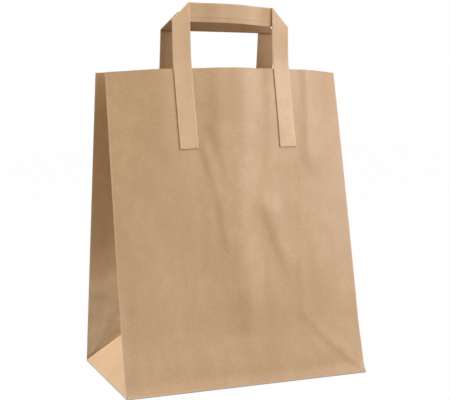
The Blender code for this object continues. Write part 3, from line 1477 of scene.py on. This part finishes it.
@dataclass(frozen=True)
class Studio:
    """White floor and surround, soft lamps and the camera."""

    camera_place: tuple[float, float, float] = (-0.3686, -0.9638, 0.2712)
    yaw: float = math.radians(21.17)
    pitch: float = math.radians(5.39)
    roll: float = math.radians(-0.55)
    focal_pixels: float = 1010.0
    image_width: int = 450
    sensor: float = 36.0
    floor_size: float = 12.0
    floor_white: float = 0.28
    floor_roughness: float = 0.95
    seen_white: float = 0.99
    contact_reach: float = 0.004
    contact_open: tuple[float, float] = (0.40, 0.90)
    contact_shade: float = 0.20
    ambient: float = 0.03
    lamps: tuple[SoftLight, ...] = (
        SoftLight(
            "top_left_lamp", place=(-0.45, -0.20, 1.75), aim=(0.0, 0.0, 0.15),
            size=1.0, power=5.2, colour=(1.0, 0.95, 0.86),
        ),
        SoftLight(
            "top_lamp", place=(0.10, -0.90, 1.70), aim=(0.0, 0.0, 0.15),
            size=1.0, power=14.5, colour=(1.0, 0.98, 0.95),
        ),
        SoftLight(
            "side_lamp", place=(-1.20, 0.60, 1.25), aim=(0.0, 0.0, 0.05),
            size=0.7, power=37.0, colour=(1.0, 0.99, 0.99),
        ),
        SoftLight(
            "key_lamp", place=(2.20, -1.70, 1.14), aim=(0.0, 0.0, 0.15),
            size=0.9, power=46.5, colour=(0.985, 0.98, 1.12),
        ),
        SoftLight(
            "front_lamp", place=(0.30, -2.53, 0.80), aim=(0.0, 0.0, 0.15),
            size=0.9, power=12.5, colour=(1.0, 0.99, 0.99),
        ),
    )

    def build(self) -> None:
        """Set up the floor, the surround, the lamps and the camera."""
        self._floor()
        self._surround()
        for lamp in self.lamps:
            lamp.build()
        self._camera()
        bpy.context.scene.view_settings.view_transform = "Standard"

    def _seen(self, bench: NodeBench) -> Socket:
        """Tell a ray that shows the floor from one that only lights the bag.

        Args:
            bench: The floor's material being built.

        Returns:
            The socket of a value, 1 for a ray from the camera, a reflection or a clear piece.
        """
        path = bench.add("ShaderNodeLightPath")
        either = bench.add("ShaderNodeMath", operation="MAXIMUM")
        bench.join(path.outputs["Is Camera Ray"], either.inputs[0])
        bench.join(path.outputs["Is Glossy Ray"], either.inputs[1])
        through = bench.add("ShaderNodeMath", operation="MAXIMUM")
        bench.join(either.outputs[0], through.inputs[0])
        bench.join(path.outputs["Is Transmission Ray"], through.inputs[1])
        return through.outputs[0]

    def _floor(self) -> None:
        """Lay a white floor that darkens only close to where the bag touches it."""
        deselect_all()
        bpy.ops.mesh.primitive_plane_add(size=self.floor_size)
        floor = bpy.context.object
        floor.name = "studio_floor"
        bench = NodeBench("studio_white")
        bench.shader.inputs["Base Color"].default_value = (*[self.floor_white] * 3, 1.0)
        bench.shader.inputs["Roughness"].default_value = self.floor_roughness
        bench.shader.inputs["Specular IOR Level"].default_value = 0.0
        glow = bench.add("ShaderNodeEmission")
        glow.inputs["Strength"].default_value = 1.0
        contact = bench.add("ShaderNodeAmbientOcclusion")
        contact.inputs["Distance"].default_value = self.contact_reach
        clear = bench.spread(contact.outputs["AO"], *self.contact_open, self.contact_shade, 1.0)
        bench.join(clear, glow.inputs["Color"])
        share = bench.add("ShaderNodeMath", operation="MULTIPLY")
        share.inputs[1].default_value = self.seen_white
        bench.join(self._seen(bench), share.inputs[0])
        mix = bench.add("ShaderNodeMixShader")
        bench.join(share.outputs[0], mix.inputs[0])
        bench.join(bench.shader.outputs[0], mix.inputs[1])
        bench.join(glow.outputs[0], mix.inputs[2])
        bench.join(mix.outputs[0], bench.nodes["Material Output"].inputs["Surface"])
        floor.data.materials.append(bench.material)

    def _surround(self) -> None:
        """Surround the bag with even light that shows as white."""
        world = bpy.data.worlds.new("studio_surround")
        bpy.context.scene.world = world
        world.use_nodes = True
        nodes = world.node_tree.nodes
        links = world.node_tree.links
        path = nodes.new("ShaderNodeLightPath")
        seen = nodes.new("ShaderNodeMath")
        seen.operation = "MAXIMUM"
        links.new(path.outputs["Is Camera Ray"], seen.inputs[0])
        links.new(path.outputs["Is Transmission Ray"], seen.inputs[1])
        strength = nodes.new("ShaderNodeMapRange")
        strength.inputs["To Min"].default_value = self.ambient
        strength.inputs["To Max"].default_value = 1.0
        links.new(seen.outputs[0], strength.inputs["Value"])
        background = nodes["Background"]
        background.inputs["Color"].default_value = (1.0, 1.0, 1.0, 1.0)
        links.new(strength.outputs["Result"], background.inputs["Strength"])

    def _camera(self) -> None:
        """Place the camera at the photograph's viewpoint."""
        forward = Vector((
            math.sin(self.yaw) * math.cos(self.pitch),
            math.cos(self.yaw) * math.cos(self.pitch),
            -math.sin(self.pitch),
        ))
        level_right = Vector((math.cos(self.yaw), -math.sin(self.yaw), 0.0))
        level_up = level_right.cross(forward)
        right = level_right * math.cos(self.roll) + level_up * math.sin(self.roll)
        up = level_up * math.cos(self.roll) - level_right * math.sin(self.roll)
        lens = bpy.data.cameras.new("camera")
        lens.sensor_width = self.sensor
        lens.lens = self.focal_pixels / self.image_width * self.sensor
        camera = bpy.data.objects.new("camera", lens)
        bpy.context.scene.collection.objects.link(camera)
        turned = Matrix((right, up, -forward)).transposed().to_4x4()
        camera.matrix_world = Matrix.Translation(self.camera_place) @ turned
        bpy.context.scene.camera = camera


def stand_in(piece: bpy.types.Object, node: str) -> None:
    """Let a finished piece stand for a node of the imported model.

    Args:
        piece: The finished piece.
        node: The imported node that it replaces.
    """
    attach(piece, ROOT)
    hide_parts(node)
    log.info("%s stands for %s with %d faces", piece.name, node, len(piece.data.polygons))


def main() -> None:
    """Build and dress the bag, and set up the studio."""
    logging.basicConfig(level=logging.INFO, format="%(name)s: %(message)s")
    fold = SheetFold()
    sheet = KraftFinish("kraft_sheet")
    tape = KraftFinish("kraft_tape", base=(0.70, 0.458, 0.250), shade=(0.62, 0.397, 0.210))
    # Rear tape: the tape's colours darkened as painted shade.
    rear_tape = KraftFinish("kraft_tape_rear_painted_shade", base=(0.60, 0.385, 0.205), shade=(0.53, 0.335, 0.175))
    stand_in(BagBody(fold, sheet).build(), "bag_body")
    front = TapeHandle(
        "front_tape", fold, Side.FRONT, tape,
        offset=0.0024, turn=math.radians(1.7), rise=0.0544, droop=0.0040,
    )
    stand_in(front.build(), "front_handle")
    # The rear handle gets painted shade on its inner sides, fullest on the bar.
    rear = TapeHandle(
        "rear_tape", fold, Side.REAR, rear_tape,
        offset=0.0052, turn=0.0, rise=0.0508, droop=0.0010, inner_depth=1.0,
    )
    stand_in(rear.build(), "rear_handle")
    Studio().build()


if __name__ == "__main__":
    main()
